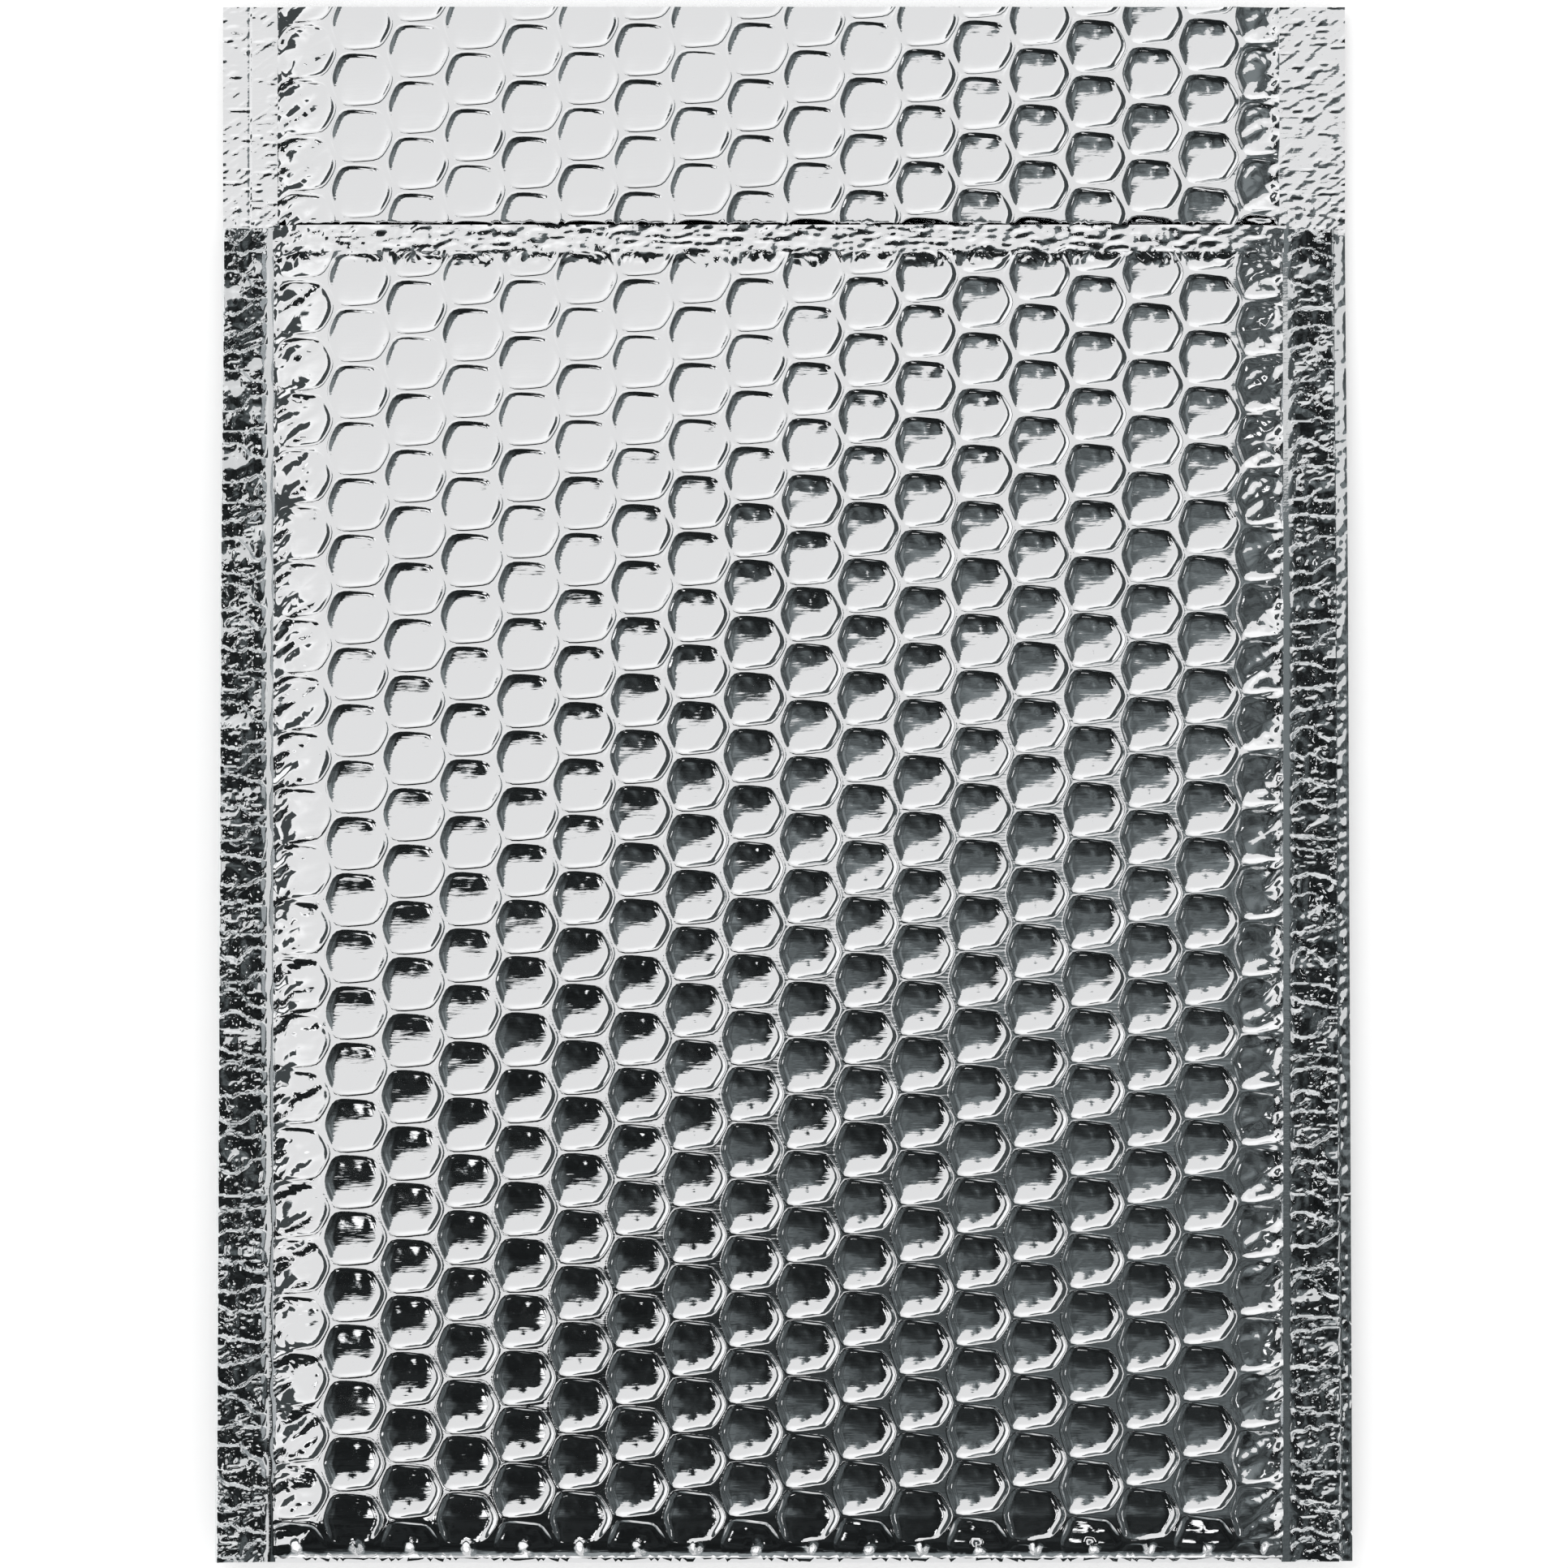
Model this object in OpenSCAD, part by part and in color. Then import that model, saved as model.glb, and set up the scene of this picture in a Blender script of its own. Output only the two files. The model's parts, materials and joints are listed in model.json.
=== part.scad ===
// Metallised bubble mailer, empty, lying on its back panel with the flap folded open.
// X runs across the mailer, Y along it from the bottom fold to the flap, and Z up.
// The origin is on the surface that it lies on, below the middle of its outline.

/* [Mailer] */
// Length from the bottom fold to the flap's free edge
overall_l = 279.4; // [250:0.1:330]
// Width of the flap and of the pouch's mouth
mouth_w = 202; // [190:0.1:210]
// Width at the bottom fold, a little more than at the mouth
base_w = 204.2; // [200:0.1:214]
// Length of the flap beyond the pouch's lip
flap_l = 40; // [36:0.5:60]

/* [Laminate] */
// Thickness of one panel: foil, bubble film and foil
panel_t = 3.6; // [3.2:0.1:4.4]
// Thickness of each metallised foil as modelled
foil_t = 0.2; // [0.15:0.05:0.4]
// Thickness of a panel where it is crushed into a weld
crushed_t = 1; // [0.8:0.1:1.2]

/* [Pouch] */
// Height of the space between the two panels
gap_h = 5; // [4.6:0.1:9]
// Width of the left weld and of the flap's left margin, at the mouth
left_weld_w = 9.8; // [6:0.1:12]
// Width of the right weld and of the flap's right margin, at the mouth
right_weld_w = 11.8; // [6:0.1:14]
// How far the front panel's cut edge stops short of the back panel's, at the right weld
right_step = 2.2; // [0.5:0.1:4]
// Length of the crushed hem along the pouch's lip
hem_l = 4.6; // [3:0.1:8]
// Thickness of the hem
hem_t = 1.6; // [1.2:0.1:2.4]
// Length of the rounded bottom fold
fold_l = 14; // [12:0.5:20]

/* [Flap fold] */
// Room between the parts on either side of a fold line
fold_gap = 0.6; // [0.5:0.1:1]
// Height of the fold lines above the panel's inner face
fold_lift = 0.15; // [0.05:0.05:0.3]
// Room between the closed flap and the front panel
flap_clear = 0.4; // [0.3:0.1:1]

/* [Hidden] */

// Lengthwise stations
bottom_y = -overall_l / 2;
end_y = overall_l / 2;
lip_y = end_y - flap_l;
body_y = bottom_y + fold_l;
hem_y = lip_y - hem_l;

// Heights
floor_z = panel_t;              // the pouch's inner floor, on the back panel
roof_z = panel_t + gap_h;       // the front panel's inner face
top_z = roof_z + panel_t;       // the front panel's outer face
mid_z = top_z / 2;              // where the panels meet, at the welds and the bottom fold

// The two fold lines that take the flap round the mouth
fold_z = floor_z + fold_lift;
fold_y = lip_y + fold_gap;
strip_l = top_z + flap_clear - floor_z - 2 * fold_lift;
flap_fold_y = fold_y + strip_l;
strip_y = [fold_y + fold_gap / 2, flap_fold_y - fold_gap / 2];
flap_y = [flap_fold_y + fold_gap / 2, end_y];

// Where the bubble field ends at each side
seam_l = -mouth_w / 2 + left_weld_w;
seam_r = mouth_w / 2 - right_weld_w;

foil_grey = [0.80, 0.82, 0.83];
film_grey = [0.70, 0.73, 0.75];
weld_grey = [0.42, 0.45, 0.47];

// A line across the web, from the left seam to the right one. Its half is a list of
// [distance in from the seam, height], and side is 1 for a line above mid_z, -1 below it
function across(half, base, side) = concat(
    [for (p = half) [seam_l + p[0], base + side * p[1]]],
    [for (i = [len(half) - 1 : -1 : 0]) [seam_r - half[i][0], base + side * half[i][1]]]
);
function lifted(line, dz) = [for (p = line) [p[0], p[1] + dz]];
function reversed(line) = [for (i = [len(line) - 1 : -1 : 0]) line[i]];
function band(low, high) = concat(low, reversed(high));

// Half shoulders of the pouch, as heights from mid_z: a panel's outer and inner faces
outer_half = [[0, crushed_t], [4, mid_z - 2.3], [9, mid_z - 0.4], [14, mid_z]];
inner_half = [[0, 0], [5, 0.26 * gap_h], [10, 0.44 * gap_h], [15, 0.5 * gap_h]];

front_top = across(outer_half, mid_z, 1);
front_low = across(inner_half, mid_z, 1);
back_top = across(inner_half, mid_z, -1);
back_low = across(outer_half, mid_z, -1);
hem_top = across([for (p = inner_half) [p[0], p[1] + (p[0] > 0 ? hem_t : crushed_t)]],
    mid_z, 1);

// Beyond the mouth the web lies flat, thinning to its margins
web_top = across([[0, floor_z], [5, floor_z], [10, floor_z]], 0, 1);
web_low = across([[0, floor_z - crushed_t], [5, 0.7], [10, 0]], 0, 1);

// Outline of the whole web, narrower at the mouth than at the bottom fold
function side_x(y) = y > lip_y ? mouth_w / 2
    : base_w / 2 + (mouth_w - base_w) / 2 * (y - bottom_y) / (lip_y - bottom_y);

// A profile in X and Z, drawn out along Y from y0 to y1
module along_y(profile, y0, y1) {
    translate([0, y1, 0]) rotate([90, 0, 0]) linear_extrude(y1 - y0) polygon(profile);
}

// A profile in Y and Z, drawn out along X from seam to seam
module along_x(profile) {
    translate([seam_l, 0, 0]) rotate([90, 0, 90])
        linear_extrude(seam_r - seam_l) polygon(profile);
}

// An outline in X and Y between two heights
module slab(outline, z0, z1) {
    translate([0, 0, z0]) linear_extrude(z1 - z0) polygon(outline);
}

// One layer of a flat stretch of web between two lines
module layer(low, high, span) {
    along_y(band(low, high), span[0], span[1]);
}

module front_outer_foil() {
    color(foil_grey) layer(lifted(front_top, -foil_t), front_top, [body_y, hem_y]);
}

module front_bubble_film() {
    color(film_grey)
        layer(lifted(front_low, foil_t), lifted(front_top, -foil_t), [body_y, hem_y]);
}

module front_inner_foil() {
    color(foil_grey) layer(front_low, lifted(front_low, foil_t), [body_y, hem_y]);
}

// The three layers of the web that the back panel, crease strip and flap share, between
// its lower and upper faces
module web_inner_foil(top, span) {
    color(foil_grey) layer(lifted(top, -foil_t), top, span);
}

module web_bubble_film(low, top, span) {
    color(film_grey) layer(lifted(low, foil_t), lifted(top, -foil_t), span);
}

module web_outer_foil(low, span) {
    color(foil_grey) layer(low, lifted(low, foil_t), span);
}

back_span = [body_y, lip_y + fold_gap / 2];

module back_inner_foil() { web_inner_foil(back_top, back_span); }
module back_bubble_film() { web_bubble_film(back_low, back_top, back_span); }
module back_outer_foil() { web_outer_foil(back_low, back_span); }

module crease_inner_foil() { web_inner_foil(web_top, strip_y); }
module crease_bubble_film() { web_bubble_film(web_low, web_top, strip_y); }
module crease_outer_foil() { web_outer_foil(web_low, strip_y); }

module flap_inner_foil() { web_inner_foil(web_top, flap_y); }
module flap_bubble_film() { web_bubble_film(web_low, web_top, flap_y); }
module flap_outer_foil() { web_outer_foil(web_low, flap_y); }

module left_side_weld() {
    color(weld_grey) slab([
        [-side_x(bottom_y), bottom_y], [seam_l, bottom_y],
        [seam_l, lip_y], [-side_x(lip_y), lip_y]
    ], mid_z - crushed_t, mid_z + crushed_t);
}

// The back panel's edge runs out past the front panel's here
module right_side_weld() {
    color(weld_grey) {
        slab([
            [seam_r, bottom_y], [side_x(bottom_y), bottom_y],
            [side_x(lip_y), lip_y], [seam_r, lip_y]
        ], mid_z - crushed_t, mid_z);
        slab([
            [seam_r, bottom_y], [side_x(bottom_y) - right_step, bottom_y],
            [side_x(lip_y) - right_step, lip_y], [seam_r, lip_y]
        ], mid_z, mid_z + crushed_t);
    }
}

// The web turned round the pouch's bottom, hollow where the two panels part. Each half
// is a list of [distance in from the end, height from mid_z]
module bottom_fold() {
    nose_half = [[0, 0.8], [1.4, 1.2], [3, 3], [6, 4.9], [10, mid_z - 0.2], [fold_l, mid_z]];
    hollow_half = [[7, 0.2], [10, 0.25 * gap_h], [fold_l, 0.5 * gap_h]];
    function lengthwise(half, side) =
        [for (p = half) [bottom_y + p[0], mid_z + side * p[1]]];
    color(foil_grey) difference() {
        intersection() {
            along_x(band(lengthwise(nose_half, -1), lengthwise(nose_half, 1)));
            along_y(band(back_low, front_top), bottom_y - 1, body_y);
        }
        intersection() {
            along_x(band(
                concat(lengthwise(hollow_half, -1), [[body_y + 1, floor_z]]),
                concat(lengthwise(hollow_half, 1), [[body_y + 1, roof_z]])
            ));
            along_y(band(back_top, front_low), bottom_y - 1, body_y + 1);
        }
    }
}

module mouth_hem() {
    color(foil_grey) layer(front_low, hem_top, [hem_y, lip_y]);
}

// A flat margin of crushed web beside the bubble field
module margin(x0, x1, span) {
    color(foil_grey) slab(
        [[x0, span[0]], [x1, span[0]], [x1, span[1]], [x0, span[1]]],
        floor_z - crushed_t, floor_z
    );
}

module crease_left_margin() { margin(-mouth_w / 2, seam_l, strip_y); }
module crease_right_margin() { margin(seam_r, mouth_w / 2, strip_y); }
module flap_left_margin() { margin(-mouth_w / 2, seam_l, flap_y); }
module flap_right_margin() { margin(seam_r, mouth_w / 2, flap_y); }

front_outer_foil();
front_bubble_film();
front_inner_foil();
back_inner_foil();
back_bubble_film();
back_outer_foil();
left_side_weld();
right_side_weld();
bottom_fold();
mouth_hem();
crease_inner_foil();
crease_bubble_film();
crease_outer_foil();
crease_left_margin();
crease_right_margin();
flap_inner_foil();
flap_bubble_film();
flap_outer_foil();
flap_left_margin();
flap_right_margin();
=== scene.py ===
"""Looks for a metallised bubble mailer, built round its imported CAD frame.

Lengths in the code are millimetres unless a name says otherwise; meshes are made in metres.
X runs across the mailer, Y from the bottom fold to the flap's free edge, and Z up. The web is
the laminate that the back panel, the two folds round the mouth and the flap are made of.
"""

import json
import math
from collections import namedtuple

import bmesh
import bpy
import numpy as np
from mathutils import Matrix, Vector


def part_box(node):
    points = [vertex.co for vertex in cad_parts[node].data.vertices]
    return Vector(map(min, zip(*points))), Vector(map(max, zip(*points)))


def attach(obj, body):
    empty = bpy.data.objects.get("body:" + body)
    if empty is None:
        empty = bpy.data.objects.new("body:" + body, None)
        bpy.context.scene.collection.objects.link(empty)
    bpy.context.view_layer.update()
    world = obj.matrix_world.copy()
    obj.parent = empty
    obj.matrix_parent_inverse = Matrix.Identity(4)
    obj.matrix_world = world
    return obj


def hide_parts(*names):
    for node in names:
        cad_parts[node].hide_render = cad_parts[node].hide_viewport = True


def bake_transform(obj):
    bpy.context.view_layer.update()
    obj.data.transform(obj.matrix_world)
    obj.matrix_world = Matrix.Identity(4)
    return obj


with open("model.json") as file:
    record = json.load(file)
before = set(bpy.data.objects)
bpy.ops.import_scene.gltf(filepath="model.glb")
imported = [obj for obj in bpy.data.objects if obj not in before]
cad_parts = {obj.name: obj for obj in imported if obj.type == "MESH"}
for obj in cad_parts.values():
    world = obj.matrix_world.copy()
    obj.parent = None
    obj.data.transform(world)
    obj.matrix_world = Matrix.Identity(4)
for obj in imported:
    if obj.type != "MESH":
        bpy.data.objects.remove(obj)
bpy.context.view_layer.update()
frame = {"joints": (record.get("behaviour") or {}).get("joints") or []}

MM = 0.001


def low(node, axis):
    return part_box(node)[0][axis] / MM


def high(node, axis):
    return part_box(node)[1][axis] / MM


# Places of the CAD parts
SEAM_L = high("left_side_weld", 0)
SEAM_R = low("right_side_weld", 0)
BOTTOM_Y = low("bottom_fold", 1)
BODY_Y = low("front_outer_foil", 1)
HEM_Y = low("mouth_hem", 1)
LIP_Y = high("mouth_hem", 1)
END_Y = high("flap_inner_foil", 1)
FLOOR_Z = high("flap_inner_foil", 2)
TOP_Z = high("front_outer_foil", 2)
ROOF_Z = TOP_Z - FLOOR_Z
MID_Z = TOP_Z / 2
WELD_T = MID_Z - low("left_side_weld", 2)
BASE_HALF = high("right_side_weld", 0)
MOUTH_HALF = high("flap_right_margin", 0)
CREASE_Y, FOLD_Y = (j["pos_m"][1] / MM for j in frame["joints"])
SPLIT_Y = (CREASE_Y + FOLD_Y) / 2
BEND = 1.7  # half the length of web that each of the flap's two folds bends

# Shape of the panels
STRIP = (0.95, 1.2)  # start and end of the wall above the bottom fold's flat strip
STRIP_RAISE = 0.16  # slope of that strip, up towards the very bottom
WALL_SHARE = (0.78, 0.71)  # share of a panel's rise in the short wall at the left and right seam
SHOULDER_W = 11  # how far in from a seam a panel's outer face goes on rising
OPENING_W = 15  # how far in from a seam the pouch's inside goes on widening
NOSE_L = 8  # length of the soft slope above the bottom fold's wall
SEAM_SINK_Y = 30  # where the seams start to sink towards the flap's height
FRONT_SINK_Y = 50  # where the front panel starts to sink towards its lip
WEB_CHANGE_Y = 60  # where the back panel starts to turn into the flat flap
LIP_DROP = 0.9  # how far the front panel has sunk at its lip
LIP_TROUGH = 0.5  # depth of the groove that the lip presses into the back panel
LIP_TROUGH_W = 0.75  # half that groove's width
MARGIN_DROP = 0.85  # how far the flap's margins lie below its bubble field
MARGIN_T = 0.75  # thickness of those margins
HEM_SINK = 0.15  # how far the hem is crushed below the bubbles' rims
FILM_INSET = 0.9  # how far the web's bubble film keeps inside its foils
FRONT_FILM_INSET = (0.3, 1.6)  # the same in the front panel, at the seams and how much more inside
LINING_GAP = 0.15  # how far the front panel's bubble film keeps above its lining
DIMPLE = 0.8  # height of the peaks along the bottom fold
DIMPLE_Y = 3.3  # how far in from the bottom fold they stand
TOP_INSET, UNDER_INSET = 0.05, 0.06  # how far the rims keep inside the CAD part's height
STEP = 2.2  # how far the back panel runs out past the front one, at the right
STEP_EDGE = 0.12  # half the width in plan of that step's face
WELD_SINK = 0.55  # how far a weld's upper face lies below the CAD part's
WELD_OVERLAP = 0.25  # how far a weld reaches in under the panels
RAGGED = 0.12  # how far a weld's outer edge strays

# Bubbles
TILT = 0.0071  # the rows climb a little towards the right
SLANT = 0.0045  # the columns lean a little to the right, going up
SIDES = ((90, 4.70), (26.5, 5.37), (-26.5, 5.37))  # where the sides face and how far out they are
CORNER = 0.045  # how much further every second corner of a bubble reaches
FLAT_R = 2.3  # radius of a bubble's flat middle
WALL = 0.30  # width in plan of the soft edge outside a bubble's rim
RELIEF = 0.046  # height of the rims above the land between them, where they stand highest
RELIEF_LOST = 0.82  # share of that height that the sunk bubbles have lost
DENT, DENT_SUNK = 0.14, 0.26  # drop inside a bubble's rim, and how much more where it has sunk
BOWL, BOWL_SUNK = 0.09, 0.11  # further drop to its centre, and how much more where it has sunk
LOBE = 0.12  # share of the drop by which a bubble's wall waves up and down round it
SWAY = 0.024  # range of the slopes that the bubbles' floors have by chance
SADDLE = 0.0035  # bend of every floor, up towards the flap and the bottom fold
SAG = 0.016  # slope of the sunk bubbles' floors, down towards the bottom and the right


def smooth(a, b, x):
    """0 at a and 1 at b, with a soft S between them."""
    t = np.clip((x - a) / (b - a), 0, 1)
    return t * t * (3 - 2 * t)


def ramp(distance, width, power):
    """0 at an edge, rising to 1 that far in from it, steepest at the edge."""
    return 1 - (1 - np.clip(distance / width, 0, 1)) ** power


def hashed(i, j, seed):
    """A repeatable number from 0 to 1 for each pair of whole numbers."""
    n = np.sin(i * 127.1 + j * 311.7 + seed * 74.7) * 43758.5453
    return n - np.floor(n)


def noise(x, y, seed):
    """Smooth noise from -1 to 1, with cells of size 1."""
    i, j = np.floor(x), np.floor(y)
    u, v = (f * f * f * (f * (f * 6 - 15) + 10) for f in (x - i, y - j))
    a = hashed(i, j, seed) * (1 - u) + hashed(i + 1, j, seed) * u
    b = hashed(i, j + 1, seed) * (1 - u) + hashed(i + 1, j + 1, seed) * u
    return 2 * (a * (1 - v) + b * v) - 1


def crumple(x, y, seed):
    """Creased facets, as the distance to the nearest point of a jittered grid of size 1."""
    i, j = np.floor(x), np.floor(y)
    nearest = np.full(np.shape(x), 9.0)
    for di in (-1, 0, 1):
        for dj in (-1, 0, 1):
            a, b = i + di, j + dj
            far = np.hypot(x - a - hashed(a, b, seed), y - b - hashed(a, b, seed + 1))
            nearest = np.minimum(nearest, far)
    return nearest


def crests(x, y, seed, least):
    """Separate small peaks, where noise with cells of size 1 rises above least."""
    return np.maximum(noise(x, y, seed) - least, 0)


# Bubble film
class Lattice:
    """Staggered columns of bubbles. Odd columns stand half a pitch higher.

    A bubble's cell is the hexagon of points that are nearer to it than to any other: tip is
    how far its left and right corners are from its centre, and half how far its level sides.
    """

    def __init__(self, left_x, top_y, rows, pitch_x, pitch_y, seed):
        self.x0, self.y0, self.seed = left_x, top_y - pitch_y * rows, seed
        self.px, self.py = pitch_x, pitch_y
        self.half = pitch_y / 2
        self.tip = (pitch_x**2 + self.half**2) / (2 * pitch_x)

    def centre(self, k, m):
        """Centre of the bubble in column k and row m, before the lattice is tilted."""
        return self.x0 + k * self.px, self.y0 + (np.mod(k, 2) / 2 + m) * self.py

    def nearest(self, x, y):
        """Column and row of the nearest bubble, and the offset from its centre."""
        x, y = x - SLANT * y, y - TILT * x
        first = np.floor((x - self.x0) / self.px)
        found = None
        for k in (first, first + 1):
            m = np.round((y - self.y0) / self.py - np.mod(k, 2) / 2)
            cx, cy = self.centre(k, m)
            option = np.array([k, m, x - cx, y - cy])
            if found is None:
                found = option
            else:
                closer = np.hypot(option[2], option[3]) < np.hypot(found[2], found[3])
                found = np.where(closer, option, found)
        return found

    def reaching(self, box):
        """Columns and rows of the bubbles whose cells may reach into x0, x1, y0, y1."""
        x0, x1, y0, y1 = box
        room_x, room_y = self.tip, self.half + 1
        columns = np.arange(math.floor((x0 - self.x0) / self.px) - 1, (x1 - self.x0) / self.px + 2)
        rows = np.arange(math.floor((y0 - self.y0) / self.py) - 2, (y1 - self.y0) / self.py + 3)
        k, m = (g.ravel() for g in np.meshgrid(columns, rows))
        cx, cy = self.centre(k, m)
        near = (cx > x0 - room_x) & (cx < x1 + room_x) & (cy > y0 - room_y) & (cy < y1 + room_y)
        return k[near], m[near]


FRONT = Lattice(left_x=-86.5, top_y=85.6, rows=22, pitch_x=10.12, pitch_y=10.07, seed=3)
WEB = Lattice(left_x=-86.85, top_y=102.0, rows=24, pitch_x=10.16, pitch_y=10.1, seed=11)

# The rise of a bubble's wall, against the share of the way from its flat middle to its rim
SHARES = np.linspace(0, 1, 241)
STEEP = SHARES**5 * (1 - smooth(0.86, 1.0, SHARES))
RISE = np.cumsum(STEEP) / np.sum(STEEP)


def sinking(x, y):
    """How far the bubbles have sunk: 0 at the flap's left corner, 1 at the bottom right."""
    return smooth(-1.0, 1.0, x / 115 - y / 240)


def rim(angle, k, m, lattice):
    """Radius of a bubble's outline, a hexagon with soft corners that sharpen as it sinks."""
    sunk = sinking(*lattice.centre(k, m))
    power = 8 + 4 * sunk
    total = 0
    for degrees, reach in SIDES:
        facing = np.abs(np.cos(angle - math.radians(degrees)))
        total = total + (facing / reach) ** power
    size = (0.982 + 0.018 * sunk) * (1 + 0.015 * (hashed(k, m, lattice.seed) - 0.5))
    corner = CORNER * (0.5 + 0.7 * sunk)
    return total ** (-1 / power) * size * (1 + corner * np.cos(3 * angle))


def bubbles(x, y, lattice):
    """Height of the foil against the bubbles' rims: sunk inside them and low between them."""
    k, m, dx, dy = lattice.nearest(x, y)
    angle, r = np.arctan2(dy, dx), np.hypot(dx, dy)
    edge = rim(angle, k, m, lattice)
    t = r / edge
    share = np.clip((r - FLAT_R) / (edge - FLAT_R), 0, 1)
    chance = [hashed(k, m, lattice.seed + n) for n in (1, 2, 3, 4)]
    sunk = sinking(*lattice.centre(k, m))
    depth = (DENT + DENT_SUNK * smooth(0.1, 0.6, sunk)) * (0.8 + 0.4 * chance[0])
    bowl = BOWL + BOWL_SUNK * smooth(0.1, 0.55, sunk) + 0.05 * (chance[1] - 0.5)
    lobes = LOBE * np.cos(6 * angle) * depth * share * (1 - share) * 2
    slope = ((chance[2] - 0.5) * dx + (chance[3] - 0.5) * dy) * SWAY
    slope = slope + SADDLE * (dy * dy - dx * dx)
    slope = slope + SAG * smooth(0.1, 0.5, sunk) * (dy - 0.5 * dx)
    ripple = 0.010 * noise(x / 3.1, y / 2.3, lattice.seed) + 0.02 * noise(x / 7, y / 5, 5)
    floor = (slope + ripple) * (1 - smooth(0.65, 1.0, t))
    inside = lobes + floor - depth * (1 - np.interp(share, SHARES, RISE)) - bowl * (1 - t * t)
    kept = 1 - RELIEF_LOST * smooth(0, 0.6, sunk)
    outside = -RELIEF * kept * smooth(0, 1, (r - edge) / WALL)
    return np.where(t < 1, inside, outside)


# Shape of the panels
def seam_x(side):
    """The seam on one side: -1 for the left, 1 for the right."""
    return SEAM_L if side < 0 else SEAM_R


def seam_distance(x):
    return np.maximum(np.minimum(x - SEAM_L, SEAM_R - x), 0)


def outward(x, side):
    """Distance out from one side's seam."""
    return (x - seam_x(side)) * side


def shoulder(x):
    """How far a panel has risen from the weld: a short wall at the seam, then a soft slope."""
    share = np.where(x < 0, *WALL_SHARE)
    return share + (1 - share) * ramp(seam_distance(x), SHOULDER_W, 2)


def opening(x):
    """How far the inside of the pouch has opened, going in from the seams."""
    return ramp(seam_distance(x), OPENING_W, 2.2)


def nose(y):
    """0 along the flat strip at the bottom fold, then a short wall and a soft slope up to 1."""
    e = y - BOTTOM_Y
    return 0.5 * smooth(*STRIP, e) + 0.5 * ramp(e - STRIP[1], NOSE_L, 2)


def pinch(x, y):
    """How far the bubbles keep their relief near the seams and the bottom fold."""
    return smooth(0.2, 1.8, seam_distance(x)) * smooth(2.2, 7, y - BOTTOM_Y)


def seam_z(y):
    """Height at which the two panels meet along the side seams. It sinks to the flap."""
    return MID_Z + (FLOOR_Z - MID_Z) * smooth(SEAM_SINK_Y, LIP_Y, y)


def gathers(x, y, seed):
    """Small creases that run in from the side seams and fade out."""
    d = seam_distance(x)
    slant = y + (0.5 * d + 0.8 * noise(d / 4, y / 9, seed + 2)) * np.sign(x)
    fine = np.abs(noise(slant / 1.1, d / 6, seed)) * np.exp(-d / 2.5)
    broad = noise(slant / 1.7, d / 5, seed + 1) * np.exp(-d / 6)
    return (0.48 * broad - 0.16 * fine) * smooth(SHOULDER_W, 6, d)


def hem_creases(x, y, seed):
    """The squiggles along the crushed hem."""
    across = y + 0.7 * noise(x / 4, y / 3, seed)
    return (
        0.30 * np.abs(noise(x / 2.8, across / 1.15, seed + 1))
        + 0.18 * np.abs(noise(x / 1.3, across / 0.7, seed + 2))
        + 0.08 * crumple(x / 1.9 + across / 4, across / 1.2, seed + 3)
    )


def crushed(x, y):
    """Height of the hem's top against the bubbles' rims."""
    return hem_creases(x, y, 31) - HEM_SINK


def dimples(x, y):
    """A small peak at the foot of every column, where its last bubble is crushed."""
    k = np.round((x - FRONT.x0) / FRONT.px)
    dx = x - FRONT.x0 - k * FRONT.px + 0.6 * (hashed(k, 0, 9) - 0.5)
    dy = y - BOTTOM_Y - DIMPLE_Y + 0.3 * (hashed(k, 1, 9) - 0.5)
    return DIMPLE * np.exp(-((dx / 0.45) ** 2) - (dy / 0.8) ** 2)


def front_level(x, y):
    """Height of the front panel's bubble rims."""
    edge = seam_z(y) + WELD_T
    plateau = TOP_Z - TOP_INSET - LIP_DROP * smooth(FRONT_SINK_Y, LIP_Y, y)
    return edge + (plateau - edge) * (shoulder(x) * nose(y))


def front_outer(x, y):
    """The front panel's outer face, with the bottom fold's upper half."""
    return (
        front_level(x, y)
        + pinch(x, y) * (1 - smooth(HEM_Y - 1.5, HEM_Y, y)) * bubbles(x, y, FRONT)
        + gathers(x, y, 21) * smooth(1, 5, y - BOTTOM_Y)
        + crushed(x, y) * smooth(HEM_Y - 3.2, HEM_Y, y)
        + dimples(x, y)
        + STRIP_RAISE * np.maximum(STRIP[0] - (y - BOTTOM_Y), 0)
    )


def front_inner(x, y):
    """The front panel's inner face, with half the outer face's relief."""
    edge = seam_z(y)
    level = edge + (ROOF_Z - edge) * opening(x) * nose(y)
    return level + 0.5 * bubbles(x, y, FRONT)


def front_film_top(x, y):
    """The film keeps below the outer foil's dents."""
    at_seam, more_inside = FRONT_FILM_INSET
    return front_level(x, y) - more_inside * pinch(x, y) - at_seam


def front_film_bottom(x, y):
    """The film keeps above the lining."""
    return front_inner(x, y) + LINING_GAP


def back_level(x, y):
    """Height of the bubble rims on the web's lower face."""
    return (seam_z(y) - WELD_T) * (1 - shoulder(x) * nose(y)) + UNDER_INSET


def back_outer(x, y):
    """The face that the mailer lies on, and the flap's outer face."""
    return back_level(x, y) - pinch(x, y) * bubbles(x, y, WEB) - 0.6 * gathers(x, y, 41)


def web_level(x, y):
    """Height of the bubble rims on the back panel's inner face, and on the flap beyond it."""
    pouch = MID_Z + (FLOOR_Z - MID_Z) * opening(x) * nose(y)
    flap = FLOOR_Z - MARGIN_DROP * (1 - ramp(seam_distance(x), 9, 2))
    return pouch + (flap - pouch) * smooth(WEB_CHANGE_Y, LIP_Y, y)


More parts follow.
